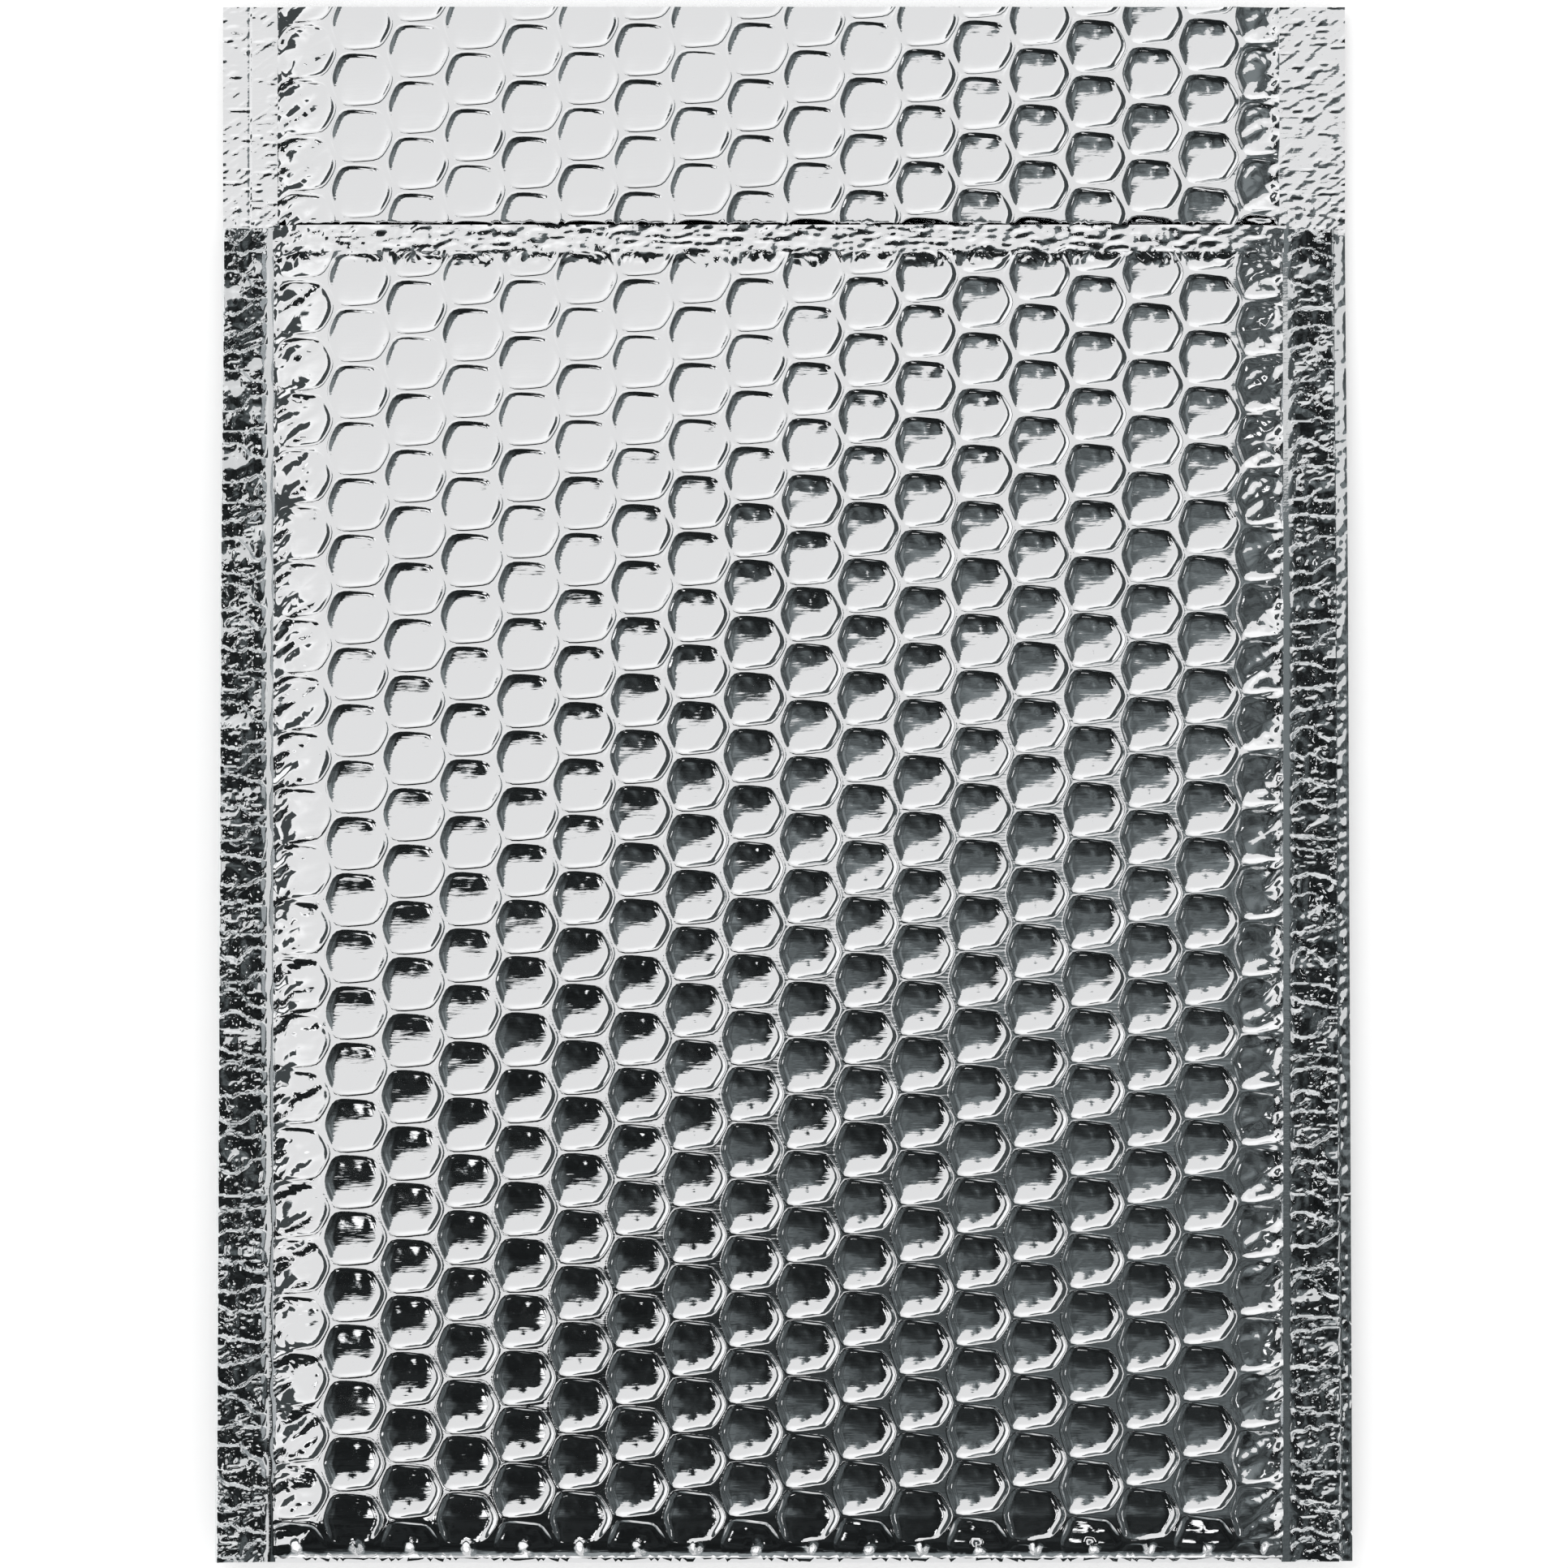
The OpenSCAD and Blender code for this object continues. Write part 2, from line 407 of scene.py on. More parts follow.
def web_inner(x, y):
    """The back panel's inner face, and the flap's face beyond the mouth."""
    trough = LIP_TROUGH * np.exp(-(((y - LIP_Y) / LIP_TROUGH_W) ** 2))
    relief = pinch(x, y) * bubbles(x, y, WEB) + 0.8 * gathers(x, y, 51)
    return web_level(x, y) + relief - trough


def web_film_top(x, y):
    return web_level(x, y) - FILM_INSET


def web_film_bottom(x, y):
    return back_level(x, y) + FILM_INSET


def side_half(y):
    """Half the mailer's width, narrowing a little from the bottom fold to the mouth."""
    return np.interp(y, [BOTTOM_Y, LIP_Y], [BASE_HALF, MOUTH_HALF])


# Creases of the welds and margins
SHINGLE = 0.85  # height of the folds that overlap across a weld
SQUIGGLE = 0.24  # height of the thin creases in a weld
PEAK = 0.6  # height of the small peaks in a weld, as a factor on what its noise leaves of them
FACET = 0.11  # height of the facets in a weld
BEAD = 0.14  # height of the pinched line along the left weld
LINE_OUT, LINE_HALF = 5.0, 0.18  # place and half width of the line pressed in the left margins


def shingles(x, y, seed, pitch, length):
    """Overlapping folds, from -0.5 to 0.5: long faces towards the bottom, short ones back."""
    across = y / pitch + 0.6 * noise(x / length, y / pitch, seed)
    share = np.mod(across + 0.12 * noise(x / 1.5, y / 3, seed + 1), 1)
    return np.where(share < 0.9, share / 0.9, (1 - share) / 0.1) - 0.5


def squiggles(x, y, seed, least):
    """Thin broken creases, from 0 on the flat to 1 along their tops."""
    width = 0.24
    near = np.abs(noise(x / 2.6 + 0.5 * noise(x / 3, y / 2, seed + 1), y / 1.15, seed))
    kept = smooth(least, least + 0.25, noise(x / 2.1, y / 3.1, seed + 2))
    return np.maximum(width - near, 0) / width * kept


def crinkles(x, y, side):
    """The welds' creases, on a slight slope: up outwards on the left and down on the right."""
    seed = 60 + side
    return (
        SHINGLE * shingles(x, y, seed + 30, pitch=4.3, length=5.5)
        + SQUIGGLE * squiggles(x, y, seed, least=0.1)
        + SQUIGGLE * squiggles(x + 0.5 * y, y - 0.5 * x, seed + 20, least=0.25)
        + PEAK * crests(x / 0.7, y / 0.6, seed + 6, least=0.68)
        + FACET * crumple(x / 1.9, y / 1.5, seed + 8)
        + (0.08 if side < 0 else -0.05) * outward(x, side)
    )


def flakes(x, y, side):
    """The narrow strip of the back panel that shows beyond the right weld."""
    peaks = 0.1 * crests(x / 1.2, y / 1.1, side + 60, least=0.5)
    return 0.16 * crumple(x / 1.5, y / 2.0, side + 73) + peaks


def ridge(x, y, side):
    """The pinched line beside the pouch: a bead on the left, a plain slope on the right."""
    if side > 0:
        return -0.09 * np.clip(outward(x, side), 0, 2.6)
    off = outward(x, side) - 0.8 - 0.35 * noise(y / 3.5, y * 0, 60 + side)
    return BEAD * smooth(-0.6, 0.0, off) * smooth(1.4, 0.8, off)


def panel_wall(x, side):
    """1 at the weld's inner edge, where it climbs to the panel, and 0 from the seam on out."""
    return smooth(-0.02, -0.2, outward(x, side))


def weld_top(x, y, side):
    """A weld's creased upper face, with the step down to the back panel on the right."""
    edge = side_half(y) - np.abs(x)
    beyond = (1 - smooth(STEP - STEP_EDGE, STEP + STEP_EDGE, edge)) * (side > 0)
    calm = smooth(1.6, 2.6, outward(x, side)) * smooth(0, 0.5, edge)
    rough = crinkles(x, y, side) * (1 - beyond) + flakes(x, y, side) * beyond
    flat = seam_z(y) + WELD_T - WELD_SINK - (WELD_T + 0.1) * beyond
    low_z = flat + ridge(x, y, side) + calm * rough
    return low_z + (front_level(x, y) - low_z) * panel_wall(x, side)


def weld_bottom(x, y, side):
    """A weld's lower face, with a few dents."""
    high_z = seam_z(y) - WELD_T + 0.5 * crests(x / 2, y / 2, side + 69, least=0.5)
    return high_z + (back_level(x, y) - high_z) * panel_wall(x, side)


def weld_x(share, y, side):
    """A weld's columns run from just inside the seam to the slanting, slightly ragged edge."""
    outer = side * side_half(y)
    inner = seam_x(side) - side * WELD_OVERLAP
    across = share if side > 0 else 1 - share
    ragged = np.abs(noise(y / 1.3, y * 0, 71)) * (across > 0) * smooth(0.15, 0, across)
    return inner + (outer - inner) * across + side * RAGGED * ragged


def margin_top(x, y, side):
    """A flat margin of the flap, creased most beside the mouth, with a line on the left one."""
    seed = 80 + side
    near_fold = smooth(LIP_Y + 9, LIP_Y + 1, y)
    creases = (
        0.10 * crests((x + 0.7 * y) / 3, (y - 0.7 * x) / 0.7, seed, least=0.3)
        + 0.20 * crests(x / 2.2, y / 0.6, seed + 2, least=0.3)
        + 0.05 * crumple(x / 3.5, y / 4.5, seed + 4)
        + 0.14 * near_fold * crests(x / 0.8, y / 0.9, seed + 6, least=0)
    )
    line = 0.12 * np.exp(-(((outward(x, side) - LINE_OUT) / LINE_HALF) ** 2)) * (side < 0)
    return FLOOR_Z - MARGIN_DROP + creases - line


def margin_bottom(x, y, side):
    """It joins the bubble field at the seam."""
    return np.where(outward(x, side) < 0.1, back_level(x, y), margin_top(x, y, side) - MARGIN_T)


def hem_top(x, y):
    """The hem's upper face, which carries on from the front panel's."""
    return front_level(x, y) + crushed(x, y)


def hem_bottom(x, y):
    """The hem's lower face, over the pouch's mouth."""
    edge = seam_z(y)
    return edge + (ROOF_Z - edge) * opening(x) + 0.3 * hem_creases(x, y, 37)


# Flat nets of faces: points in X and Y, the faces' corners and how many each face has
def merged(points, loops, totals):
    """The net with the points that coincide made one."""
    keys, where = np.unique(np.round(points, 4), axis=0, return_inverse=True)
    return keys, where.ravel()[loops], totals


def cell_border(lattice, steps):
    """Points round a cell. steps is how many faces its level and its slanting sides take."""
    tip, half = lattice.tip, lattice.half
    side = lattice.px - tip
    corners = [(tip, 0), (side, half), (-side, half), (-tip, 0), (-side, -half), (side, -half)]
    points = []
    for i, a in enumerate(corners):
        b = corners[(i + 1) % 6]
        n = steps[0] if a[1] == b[1] else steps[1]
        points += [(a[0] + (b[0] - a[0]) * s / n, a[1] + (b[1] - a[1]) * s / n) for s in range(n)]
    return np.array(points)


def ring_faces(cells, rings, rays):
    """The faces of many cells: a fan round each one's middle, then rings of quads."""
    now, after = np.arange(rays), (np.arange(rays) + 1) % rays
    fans = np.stack([np.zeros(rays, int), 1 + now, 1 + after], axis=1)
    ring = np.arange(rings - 1)[:, None] * rays + 1
    quads = np.stack([ring + now, ring + rays + now, ring + rays + after, ring + after], axis=2)
    quads = quads.reshape(-1, 4)
    start = (np.arange(cells) * (rings * rays + 1))[:, None, None]
    loops = np.concatenate([(start + fans).ravel(), (start + quads).ravel()])
    totals = np.concatenate([np.full(cells * len(fans), 3), np.full(cells * len(quads), 4)])
    return loops, totals


def cell_net(lattice, box, steps, inner, outer, creases=()):
    """Rings of faces round every bubble, out to the cell that it shares with its neighbours.

    inner places rings as shares of the rim's radius, and outer as shares of the soft edge.
    """
    border = cell_border(lattice, steps)
    angle, reach = np.arctan2(border[:, 1], border[:, 0]), np.hypot(*border.T)
    k, m = lattice.reaching(box)
    edge = rim(angle[None], k[:, None], m[:, None], lattice)
    room = np.minimum(WALL, 0.9 * (reach - edge))
    radii = [edge * t for t in inner] + [edge + room * f for f in outer]
    radii = np.stack(radii + [np.broadcast_to(reach, edge.shape)], axis=1)
    rings = radii[..., None] * (border / reach[:, None])
    middle = np.zeros((len(k), 1, 2))
    local = np.concatenate([middle, rings.reshape(len(k), -1, 2)], axis=1)
    points = local + np.stack(lattice.centre(k, m), axis=1)[:, None]
    points += points[..., ::-1] * (SLANT, TILT)
    loops, totals = ring_faces(len(k), radii.shape[1], len(border))
    return clip(merged(points.reshape(-1, 2), loops, totals), box, creases)


def grid_net(xs, ys, slant=None):
    """A grid of faces. slant(x, y) moves its columns sideways."""
    gx, gy = np.meshgrid(xs, ys)
    if slant:
        gx = slant(gx, gy)
    n = len(xs)
    a = (np.arange(len(ys) - 1)[:, None] * n + np.arange(n - 1)).ravel()
    loops = np.stack([a, a + 1, a + n + 1, a + n], axis=1).ravel()
    return np.stack([gx.ravel(), gy.ravel()], axis=1), loops, np.full(len(a), 4)


def new_mesh(name, points, loops, totals):
    mesh = bpy.data.meshes.new(name)
    mesh.vertices.add(len(points))
    mesh.vertices.foreach_set("co", np.asarray(points, np.float32).ravel())
    mesh.loops.add(len(loops))
    mesh.loops.foreach_set("vertex_index", np.asarray(loops, np.int32))
    mesh.polygons.add(len(totals))
    starts = np.concatenate([[0], np.cumsum(totals)[:-1]])
    mesh.polygons.foreach_set("loop_start", starts.astype(np.int32))
    mesh.update(calc_edges=True)
    mesh.polygons.foreach_set("use_smooth", np.ones(len(totals), bool))
    return mesh


def clip(net, box, creases=()):
    """The part of a net inside x0, x1, y0, y1, with edges along each crease's y."""
    points, loops, totals = net
    x0, x1, y0, y1 = box
    mesh = new_mesh("net", np.column_stack([points, np.zeros(len(points))]), loops, totals)
    bm = bmesh.new()
    bm.from_mesh(mesh)
    cuts = [((x0, 0, 0), (-1, 0, 0), True), ((x1, 0, 0), (1, 0, 0), True),
            ((0, y0, 0), (0, -1, 0), True), ((0, y1, 0), (0, 1, 0), True)]
    cuts += [((0, y, 0), (0, 1, 0), False) for y in creases]
    for place, facing, drops_beyond in cuts:
        bmesh.ops.bisect_plane(
            bm, geom=bm.verts[:] + bm.edges[:] + bm.faces[:], dist=1e-4,
            plane_co=place, plane_no=facing, clear_outer=drops_beyond)
    bm.to_mesh(mesh)
    bm.free()
    co = np.zeros(len(mesh.vertices) * 3)
    mesh.vertices.foreach_get("co", co)
    loops = np.zeros(len(mesh.loops), int)
    mesh.loops.foreach_get("vertex_index", loops)
    totals = np.zeros(len(mesh.polygons), int)
    mesh.polygons.foreach_get("loop_total", totals)
    bpy.data.meshes.remove(mesh)
    return co.reshape(-1, 3)[:, :2], loops, totals


def turned(loops, totals):
    """The same faces, facing the other way."""
    return np.concatenate([face[::-1] for face in np.split(loops, np.cumsum(totals)[:-1])])


def surface_normals(x, y, height, side):
    """Unit normals of a height, upward for side 1 and downward for side -1."""
    e = 0.02
    nx = (height(x - e, y) - height(x + e, y)) / (2 * e)
    ny = (height(x, y - e) - height(x, y + e)) / (2 * e)
    n = np.stack([nx, ny, np.ones_like(nx)], axis=1) * side
    return n / np.linalg.norm(n, axis=1)[:, None]


def piece(name, mesh, material):
    mesh.materials.append(material)
    obj = bpy.data.objects.new(name, mesh)
    bpy.context.scene.collection.objects.link(obj)
    return obj


def skin(name, net, height, material, side=1):
    """A foil as one layer. side is -1 for one that faces down."""
    points, loops, totals = net
    x, y = points.T
    if side < 0:
        loops = turned(loops, totals)
    mesh = new_mesh(name, np.column_stack([x, y, height(x, y)]) * MM, loops, totals)
    mesh.normals_split_custom_set_from_vertices(surface_normals(x, y, height, side))
    return piece(name, mesh, material)


def slab(name, net, top, bottom, material, open_side=None, exact=False):
    """A closed piece between two heights.

    open_side(x, y) picks the outline's edges that get no wall. exact takes the shading of both
    faces from the heights themselves.
    """
    points, loops, totals = net
    x, y = points.T
    n = len(points)
    ends = np.cumsum(totals)
    after = np.roll(loops, -1)
    after[ends - 1] = loops[ends - totals]
    twins = np.isin(loops * n + after, after * n + loops)
    a, b = loops[~twins], after[~twins]
    if open_side:
        kept = ~open_side((x[a] + x[b]) / 2, (y[a] + y[b]) / 2)
        a, b = a[kept], b[kept]
    under = turned(loops, totals)
    walls = np.stack([b, a, a + n, b + n], axis=1).ravel()
    z = np.concatenate([top(x, y), bottom(x, y)])
    co = np.column_stack([np.tile(x, 2), np.tile(y, 2), z]) * MM
    all_loops = np.concatenate([loops, under + n, walls])
    all_totals = np.concatenate([totals, totals, np.full(len(a), 4)])
    mesh = new_mesh(name, co, all_loops, all_totals)
    if exact:
        normals = np.zeros((len(all_loops), 3))
        normals[: len(loops)] = surface_normals(x, y, top, 1)[loops]
        normals[len(loops) : 2 * len(loops)] = surface_normals(x, y, bottom, -1)[under]
        mesh.normals_split_custom_set(normals)
    else:
        mesh.set_sharp_from_angle(angle=math.radians(50))
    return piece(name, mesh, material)


# Materials
def node(tree, kind, **values):
    made = tree.nodes.new(kind)
    for key, value in values.items():
        setattr(made, key, value)
    return made


def dial(made, values):
    """Sets a node's inputs to plain values."""
    for socket, value in values.items():
        made.inputs[socket].default_value = value


def mapped_noise(tree, size, detail):
    """Noise whose features are size = (x, y, z) millimetres, in the object's own space."""
    coordinates = node(tree, "ShaderNodeTexCoord")
    mapping = node(tree, "ShaderNodeMapping")
    dial(mapping, {"Scale": [1 / (s * MM) for s in size]})
    texture = node(tree, "ShaderNodeTexNoise")
    dial(texture, {"Scale": 1.0, "Detail": detail, "Roughness": 0.5})
    tree.links.new(coordinates.outputs["Object"], mapping.inputs["Vector"])
    tree.links.new(mapping.outputs["Vector"], texture.inputs["Vector"])
    return texture.outputs["Fac"]


def bumped(tree, height, distance, before=None):
    """A normal bent by a height, on top of the bump before it."""
    bump = node(tree, "ShaderNodeBump")
    dial(bump, {"Strength": 1.0, "Distance": distance * MM})
    tree.links.new(height, bump.inputs["Height"])
    if before:
        tree.links.new(before, bump.inputs["Normal"])
    return bump.outputs["Normal"]


def new_material(name):
    material = bpy.data.materials.new(name)
    material.use_nodes = True
    tree = material.node_tree
    return material, tree, tree.nodes["Principled BSDF"]


def foil(name, colour, roughness, streak, grain):
    """Metallised film: streaks across the web, fine grain, and smudges in its gloss."""
    material, tree, shader = new_material(name)
    dial(shader, {"Metallic": 1.0, "Base Color": (*colour, 1)})
    gloss = node(tree, "ShaderNodeMapRange")
    dial(gloss, {"From Min": 0.35, "From Max": 0.7,
                 "To Min": roughness * 0.6, "To Max": roughness * 1.6})
    tree.links.new(mapped_noise(tree, (14, 9, 9), 3), gloss.inputs["Value"])
    tree.links.new(gloss.outputs["Result"], shader.inputs["Roughness"])
    streaks = bumped(tree, mapped_noise(tree, (4.0, 0.5, 0.5), 2), streak)
    grained = bumped(tree, mapped_noise(tree, (0.9, 0.7, 0.7), 2), grain, streaks)
    tree.links.new(grained, shader.inputs["Normal"])
    return material


def film(name):
    """Clear polythene bubble film, seen at the web's cut edges."""
    material, tree, shader = new_material(name)
    dial(shader, {"Roughness": 0.16, "IOR": 1.5, "Transmission Weight": 0.35})
    tint = node(tree, "ShaderNodeMix", data_type="RGBA")
    dial(tint, {"A": (0.62, 0.67, 0.70, 1), "B": (0.86, 0.89, 0.91, 1)})
    tree.links.new(mapped_noise(tree, (5, 5, 2), 3), tint.inputs["Factor"])
    tree.links.new(tint.outputs["Result"], shader.inputs["Base Color"])
    dents = bumped(tree, mapped_noise(tree, (1.5, 1.5, 1), 2), 0.05)
    tree.links.new(dents, shader.inputs["Normal"])
    return material


SILVER = (0.925, 0.93, 0.935)
# Painted shade: the welds' foil is the same silver as the rest, given a darker base colour that
# stands in for the dark studio their crinkles mirror.
SHADED_SILVER = (0.78, 0.795, 0.80)
OUTER = foil("outer_foil", SILVER, roughness=0.03, streak=0.011, grain=0.002)
INNER = foil("inner_foil", SILVER, roughness=0.03, streak=0.011, grain=0.002)
FILM = film("bubble_film")
# Painted shade: the welds get the darker silver.
WELD = foil("weld", SHADED_SILVER, roughness=0.04, streak=0.006, grain=0.008)
HEM = foil("hem", SILVER, roughness=0.04, streak=0.02, grain=0.015)
MARGIN = foil("margin_foil", SILVER, roughness=0.04, streak=0.02, grain=0.02)


# Camera, light and floor
def make_camera():
    distance, seen_width, sensor, shift_y = 1000.0, 281.4, 36.0, -0.15
    data = bpy.data.cameras.new("camera")
    data.sensor_width = sensor
    data.lens = sensor * distance / seen_width
    data.clip_start, data.clip_end = 0.01, 20
    camera = bpy.data.objects.new("camera", data)
    camera.location = (0, shift_y * MM, (distance + MID_Z) * MM)
    bpy.context.scene.collection.objects.link(camera)
    bpy.context.scene.camera = camera


class Sums:
    """Short names for a node tree's arithmetic. Numbers and sockets mix freely."""

    def __init__(self, tree):
        self.tree = tree

    def op(self, kind, *values):
        made = node(self.tree, "ShaderNodeMath", operation=kind)
        for socket, value in zip(made.inputs, values):
            if isinstance(value, (int, float)):
                socket.default_value = value
            else:
                self.tree.links.new(value, socket)
        return made.outputs[0]

    def add(self, a, b):
        return self.op("ADD", a, b)

    def times(self, a, b):
        return self.op("MULTIPLY", a, b)

    def minus(self, a, b):
        return self.op("SUBTRACT", a, b)

    def mix(self, factor, a, b):
        return self.add(self.times(self.minus(1, factor), a), self.times(factor, b))

    def along(self, way, u, v):
        """How far the point (u, v) lies in a direction of the plane."""
        return self.add(self.times(u, way[0]), self.times(v, way[1]))

    def step(self, value, start, end):
        made = node(self.tree, "ShaderNodeMapRange", interpolation_type="SMOOTHSTEP")
        dial(made, {"From Min": start, "From Max": end})
        self.tree.links.new(value, made.inputs["Value"])
        return made.outputs["Result"]


# The studio that the foil mirrors. A direction is given by its slopes from straight up: u to
# the right and v towards the flap. An EDGE is where a soft step starts and ends, and a WAY is
# a direction in u and v that such a step is taken along
CARD_WAY = (-0.58, 0.815)  # across the bright card, from its long edge inwards
CARD_EDGE = (-0.045, -0.025)
GLOW_EDGE = (0.1, 0.7)  # further in, where the card gets brighter
CARD_LIGHT = (0.80, 1.04)  # light near the card's long edge, and past that step
GAP_WAY = (-0.95, 0.3)  # along the card, to the dark gap in its left part
GAP_EDGE = (0.54, 0.60)
GAP_FAR_EDGE = (-1.3, -1.1)  # the gap's far side, in u
GAP_LIGHT = 0.06
LEFT_LIGHT = 0.014
RIGHT_EDGE = (-0.03, 0.07)  # in u
RIGHT_V_EDGE = (-0.28, 0.0)  # in v
RIGHT_LIGHT = (0.02, 0.17)  # light on the right, before and after that step
FAR_RIGHT_EDGE = (0.25, 0.6)  # in u
FAR_RIGHT_LIGHT = 0.09
CLOUD_EDGE = (0.35, 0.65)
SHADE_CLOUDS = (0.6, 1.3)  # factors on the dark side's light, outside and inside a cloud
LOW_EDGE = (0.46, 0.30)  # in Z, for a direction of length 1. The low cloudy walls are below it
LOW_LIGHT = (0.30, 0.75)  # light of those walls, outside and inside a cloud
LAMP_LIGHT = 1.1
LAMP_BLUR = 0.15  # half the width of a lamp's soft edge, as a share of its radius
LAMPS = ((-0.13, -0.20, 0.05), (-0.28, -0.24, 0.06), (-0.2, -0.42, 0.05),
         (-0.6, -0.5, 0.08), (0.12, -0.62, 0.05), (0.75, -0.2, 0.08))  # u, v and radius


def lamp(s, u, v, place):
    """1 inside one small round lamp and 0 outside."""
    lamp_u, lamp_v, radius = place
    du, dv = s.add(u, -lamp_u), s.add(v, -lamp_v)
    far = s.op("SQRT", s.add(s.times(du, du), s.times(dv, dv)))
    return s.step(far, radius * (1 + LAMP_BLUR), radius * (1 - LAMP_BLUR))


def dark_side(s, u, v, clouds):
    """Light of everything that isn't the card, a lamp or the low walls."""
    right = s.mix(s.step(v, *RIGHT_V_EDGE), *RIGHT_LIGHT)
    shade = s.mix(s.step(u, *RIGHT_EDGE), LEFT_LIGHT, right)
    shade = s.mix(s.step(u, *FAR_RIGHT_EDGE), shade, FAR_RIGHT_LIGHT)
    return s.times(s.mix(clouds, *SHADE_CLOUDS), shade)


def studio_light(s, direction):
    """One long bright card on the flap's side, dark elsewhere with a few small lamps, and
    cloudy grey walls low down."""
    axes = node(s.tree, "ShaderNodeSeparateXYZ")
    s.tree.links.new(direction, axes.inputs[0])
    up = s.op("MAXIMUM", axes.outputs["Z"], 0.03)
    u = s.op("DIVIDE", axes.outputs["X"], up)
    v = s.op("DIVIDE", axes.outputs["Y"], up)
    cloud = node(s.tree, "ShaderNodeTexNoise")
    dial(cloud, {"Scale": 9.0, "Detail": 3.0})
    s.tree.links.new(direction, cloud.inputs["Vector"])
    clouds = s.step(cloud.outputs["Fac"], *CLOUD_EDGE)

    inwards = s.along(CARD_WAY, u, v)
    gap = s.times(s.step(s.along(GAP_WAY, u, v), *GAP_EDGE), s.step(u, *GAP_FAR_EDGE))
    card = s.times(s.step(inwards, *CARD_EDGE), s.minus(1, gap))
    shade = s.mix(gap, dark_side(s, u, v, clouds), GAP_LIGHT)
    light = s.mix(card, shade, s.mix(s.step(inwards, *GLOW_EDGE), *CARD_LIGHT))
    for place in LAMPS:
        seen = s.times(s.minus(1, card), lamp(s, u, v, place))
        light = s.add(light, s.times(seen, LAMP_LIGHT))
    low = s.step(axes.outputs["Z"], *LOW_EDGE)
    return s.mix(low, light, s.op("MAXIMUM", light, s.mix(clouds, *LOW_LIGHT)))


def make_sky():
    """Mirrored and refracted rays see the studio, and all the others an even white."""
    world = bpy.data.worlds.new("studio")
    bpy.context.scene.world = world
    world.use_nodes = True
    tree = world.node_tree
    tree.nodes.clear()
    s = Sums(tree)
    light = studio_light(s, node(tree, "ShaderNodeTexCoord").outputs["Generated"])
    tone = node(tree, "ShaderNodeMix", data_type="RGBA")
    dial(tone, {"A": (0.90, 1.02, 1.06, 1), "B": (1, 1, 1.005, 1)})
    tree.links.new(s.step(light, 0.1, 0.6), tone.inputs["Factor"])
    mirrored = node(tree, "ShaderNodeBackground")
    tree.links.new(tone.outputs["Result"], mirrored.inputs["Color"])
    tree.links.new(light, mirrored.inputs["Strength"])
    plain = node(tree, "ShaderNodeBackground")
    dial(plain, {"Color": (1, 1, 1, 1), "Strength": 1.0})
    rays = node(tree, "ShaderNodeLightPath")
    glossy = s.op("MAXIMUM", rays.outputs["Is Glossy Ray"], rays.outputs["Is Transmission Ray"])
    pick = node(tree, "ShaderNodeMixShader")
    tree.links.new(glossy, pick.inputs["Fac"])
    tree.links.new(plain.outputs[0], pick.inputs[1])
    tree.links.new(mirrored.outputs[0], pick.inputs[2])
    out = node(tree, "ShaderNodeOutputWorld")
    tree.links.new(pick.outputs[0], out.inputs["Surface"])


def make_floor():
    """A pale floor, just below the mailer."""
    material, _, shader = new_material("floor")
    dial(shader, {"Base Color": (0.9, 0.9, 0.9, 1), "Roughness": 0.9,
                  "Emission Color": (1, 1, 1, 1), "Emission Strength": 0.12})
    half, floor_z = 2500 * MM, -0.02 * MM
    mesh = bpy.data.meshes.new("floor")
    corners = ((-half, -half), (half, -half), (half, half), (-half, half))
    mesh.from_pydata([(x, y, floor_z) for x, y in corners], [], [(0, 1, 2, 3)])
    piece("floor", mesh, material)


def make_light():
    """A large soft light, high up past the flap's left corner. The foil doesn't mirror it."""
    data = bpy.data.lights.new("softbox", "AREA")
    data.shape, data.size, data.energy = "DISK", 1.2, 6
    softbox = bpy.data.objects.new("softbox", data)
    softbox.location = (-0.6, 0.9, 1.6)
    softbox.rotation_euler = (math.radians(-29), math.radians(-20), 0)
    softbox.visible_glossy = False
    bpy.context.scene.collection.objects.link(softbox)


# Pieces. steps, inner and outer are cell_net's
FINE = dict(steps=(6, 5), inner=(0.28, 0.5, 0.67, 0.8, 0.89, 0.95, 0.985, 1.0), outer=(0.5, 1.0))
COARSE = dict(steps=(4, 3), inner=(0.4, 0.75, 0.93, 1.0), outer=(0.5, 1.0))
PAD = dict(steps=(3, 2), inner=(0.5, 0.8), outer=())

# Sizes of the grids: how many columns and rows, or how far apart they are
WELD_COLUMNS, WELD_ROWS = 49, 1120
HEM_COLUMN, HEM_ROWS = 0.4, 16
MARGIN_COLUMNS, MARGIN_ROW = 45, 0.25

LAYERS = ("inner_foil", "bubble_film", "outer_foil")

# The web's stretches. cad is how the names of their CAD nodes start, and rides is finish_piece's
Stretch = namedtuple("Stretch", "name cad start end rides")
BACK = Stretch("back", "back", BODY_Y, CREASE_Y - BEND, "pouch")
BENDS = (
    Stretch("lower", "crease", BACK.end, SPLIT_Y, ("pouch", "crease_strip", CREASE_Y)),
    Stretch("upper", "crease", SPLIT_Y, FOLD_Y + BEND, ("crease_strip", "flap", FOLD_Y)),
)
FLAP = Stretch("flap", "flap", FOLD_Y + BEND, END_Y, "flap")


def finish_piece(obj, nodes, rides="pouch"):
    """rides is a body that the piece is attached to. For a bend it is the two bodies that the bend
    joins and the fold line between them, which are not used: the bend is only fixed where it is.
    """
    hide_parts(*nodes)
    if isinstance(rides, str):
        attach(obj, rides)
    else:
        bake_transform(obj)
    return obj


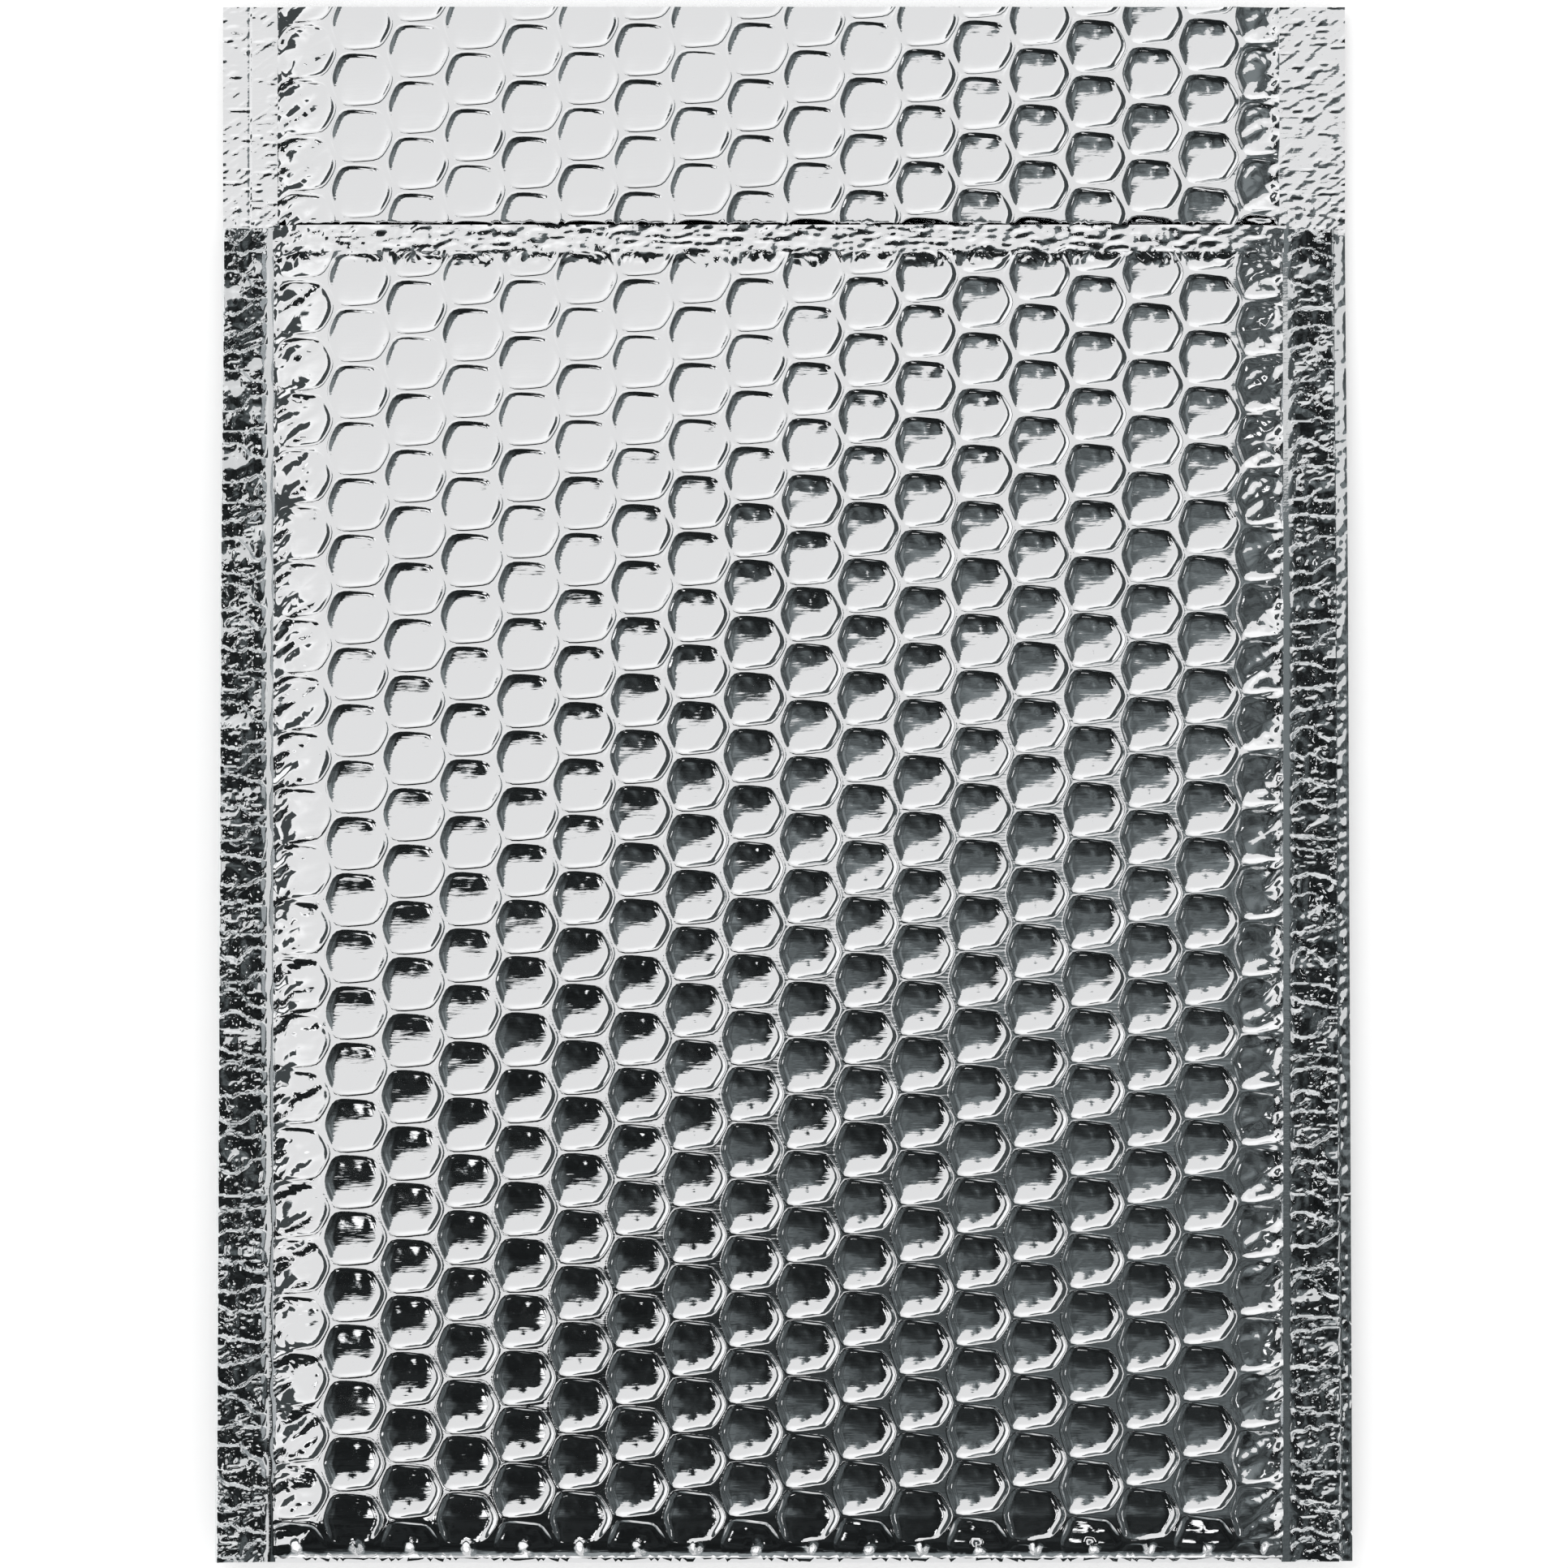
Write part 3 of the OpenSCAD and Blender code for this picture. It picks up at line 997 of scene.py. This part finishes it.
def build_pouch():
    """The front panel's three layers, and the bottom fold."""
    body = (SEAM_L, SEAM_R, BODY_Y, HEM_Y)
    skins = {}
    outer = skin("front_outer_foil_skin", cell_net(FRONT, body, **FINE), front_outer, OUTER)
    skins["front_outer"] = finish_piece(outer, ["front_outer_foil"])
    plain_net = cell_net(FRONT, body, **PAD)
    inner = skin("front_inner_foil_skin", plain_net, front_inner, INNER, side=-1)
    skins["front_inner"] = finish_piece(inner, ["front_inner_foil"])
    padding = slab("front_bubble_film_pad", plain_net, front_film_top, front_film_bottom, FILM)
    skins["front_pad"] = finish_piece(padding, ["front_bubble_film"])
    creases = [BOTTOM_Y + e for e in STRIP]
    fold_net = cell_net(FRONT, (SEAM_L, SEAM_R, BOTTOM_Y, BODY_Y), **FINE, creases=creases)
    fold = slab("bottom_fold_foil", fold_net,
                front_outer, lambda x, y: 2 * MID_Z - front_outer(x, y), OUTER,
                open_side=lambda x, y: y > BODY_Y - 0.01, exact=True)
    finish_piece(fold, ["bottom_fold"])
    return skins


def build_web():
    """The back panel, the stretch that folds round the mouth, and the flap, layer by layer."""
    made = {}
    for part in (BACK, *BENDS, FLAP):
        box = (SEAM_L, SEAM_R, part.start, part.end)
        tail = part.name if part in BENDS else "skin"
        names = [f"{part.cad}_{layer}_{tail}" for layer in LAYERS]
        shown = COARSE if part is BACK else FINE
        built = (
            skin(names[0], cell_net(WEB, box, **shown), web_inner, INNER),
            slab(names[1], cell_net(WEB, box, **PAD), web_film_top, web_film_bottom, FILM),
            skin(names[2], cell_net(WEB, box, **COARSE), back_outer, OUTER, side=-1),
        )
        for layer, obj in zip(LAYERS, built):
            made[part.name, layer] = finish_piece(obj, [f"{part.cad}_{layer}"], part.rides)
    return made


def build_welds():
    """The two crushed sides of the pouch."""
    made = []
    columns, rows = np.linspace(0, 1, WELD_COLUMNS), np.linspace(BOTTOM_Y, LIP_Y, WELD_ROWS)
    for side, name in ((-1, "left"), (1, "right")):
        net = grid_net(columns, rows, lambda share, y: weld_x(share, y, side))
        weld = slab(f"{name}_side_weld_foil", net, lambda x, y: weld_top(x, y, side),
                    lambda x, y: weld_bottom(x, y, side), WELD)
        made.append(finish_piece(weld, [f"{name}_side_weld"]))
    return made


def build_hem():
    """The crushed lip of the front panel."""
    past_left, past_right, before = 0.2, 0.5, 0.15
    xs = np.arange(SEAM_L - past_left, SEAM_R + past_right, HEM_COLUMN)
    ys = np.linspace(HEM_Y - before, LIP_Y, HEM_ROWS)
    hem = slab("mouth_hem_foil", grid_net(xs, ys), hem_top, hem_bottom, HEM)
    return finish_piece(hem, ["mouth_hem"])


def build_margins():
    """The flat strips beside the flap and beside the two bends."""
    made = []
    for side, name in ((-1, "left"), (1, "right")):
        ends = sorted((seam_x(side), side * MOUTH_HALF))
        xs = np.linspace(*ends, MARGIN_COLUMNS)
        for part in (*BENDS, FLAP):
            rows = max(int((part.end - part.start) / MARGIN_ROW), 8)
            net = grid_net(xs, np.linspace(part.start, part.end, rows + 1))
            cad = f"{part.cad}_{name}_margin"
            tail = part.name if part in BENDS else "foil"
            margin = slab(f"{cad}_{tail}", net, lambda x, y: margin_top(x, y, side),
                          lambda x, y: margin_bottom(x, y, side), MARGIN)
            made.append(finish_piece(margin, [cad], part.rides))
    return made


make_camera()
make_sky()
make_floor()
make_light()
pouch = build_pouch()
web = build_web()
loose = {"welds": build_welds(), "hem": build_hem(), "margins": build_margins()}

bpy.context.scene.view_settings.view_transform = "Standard"
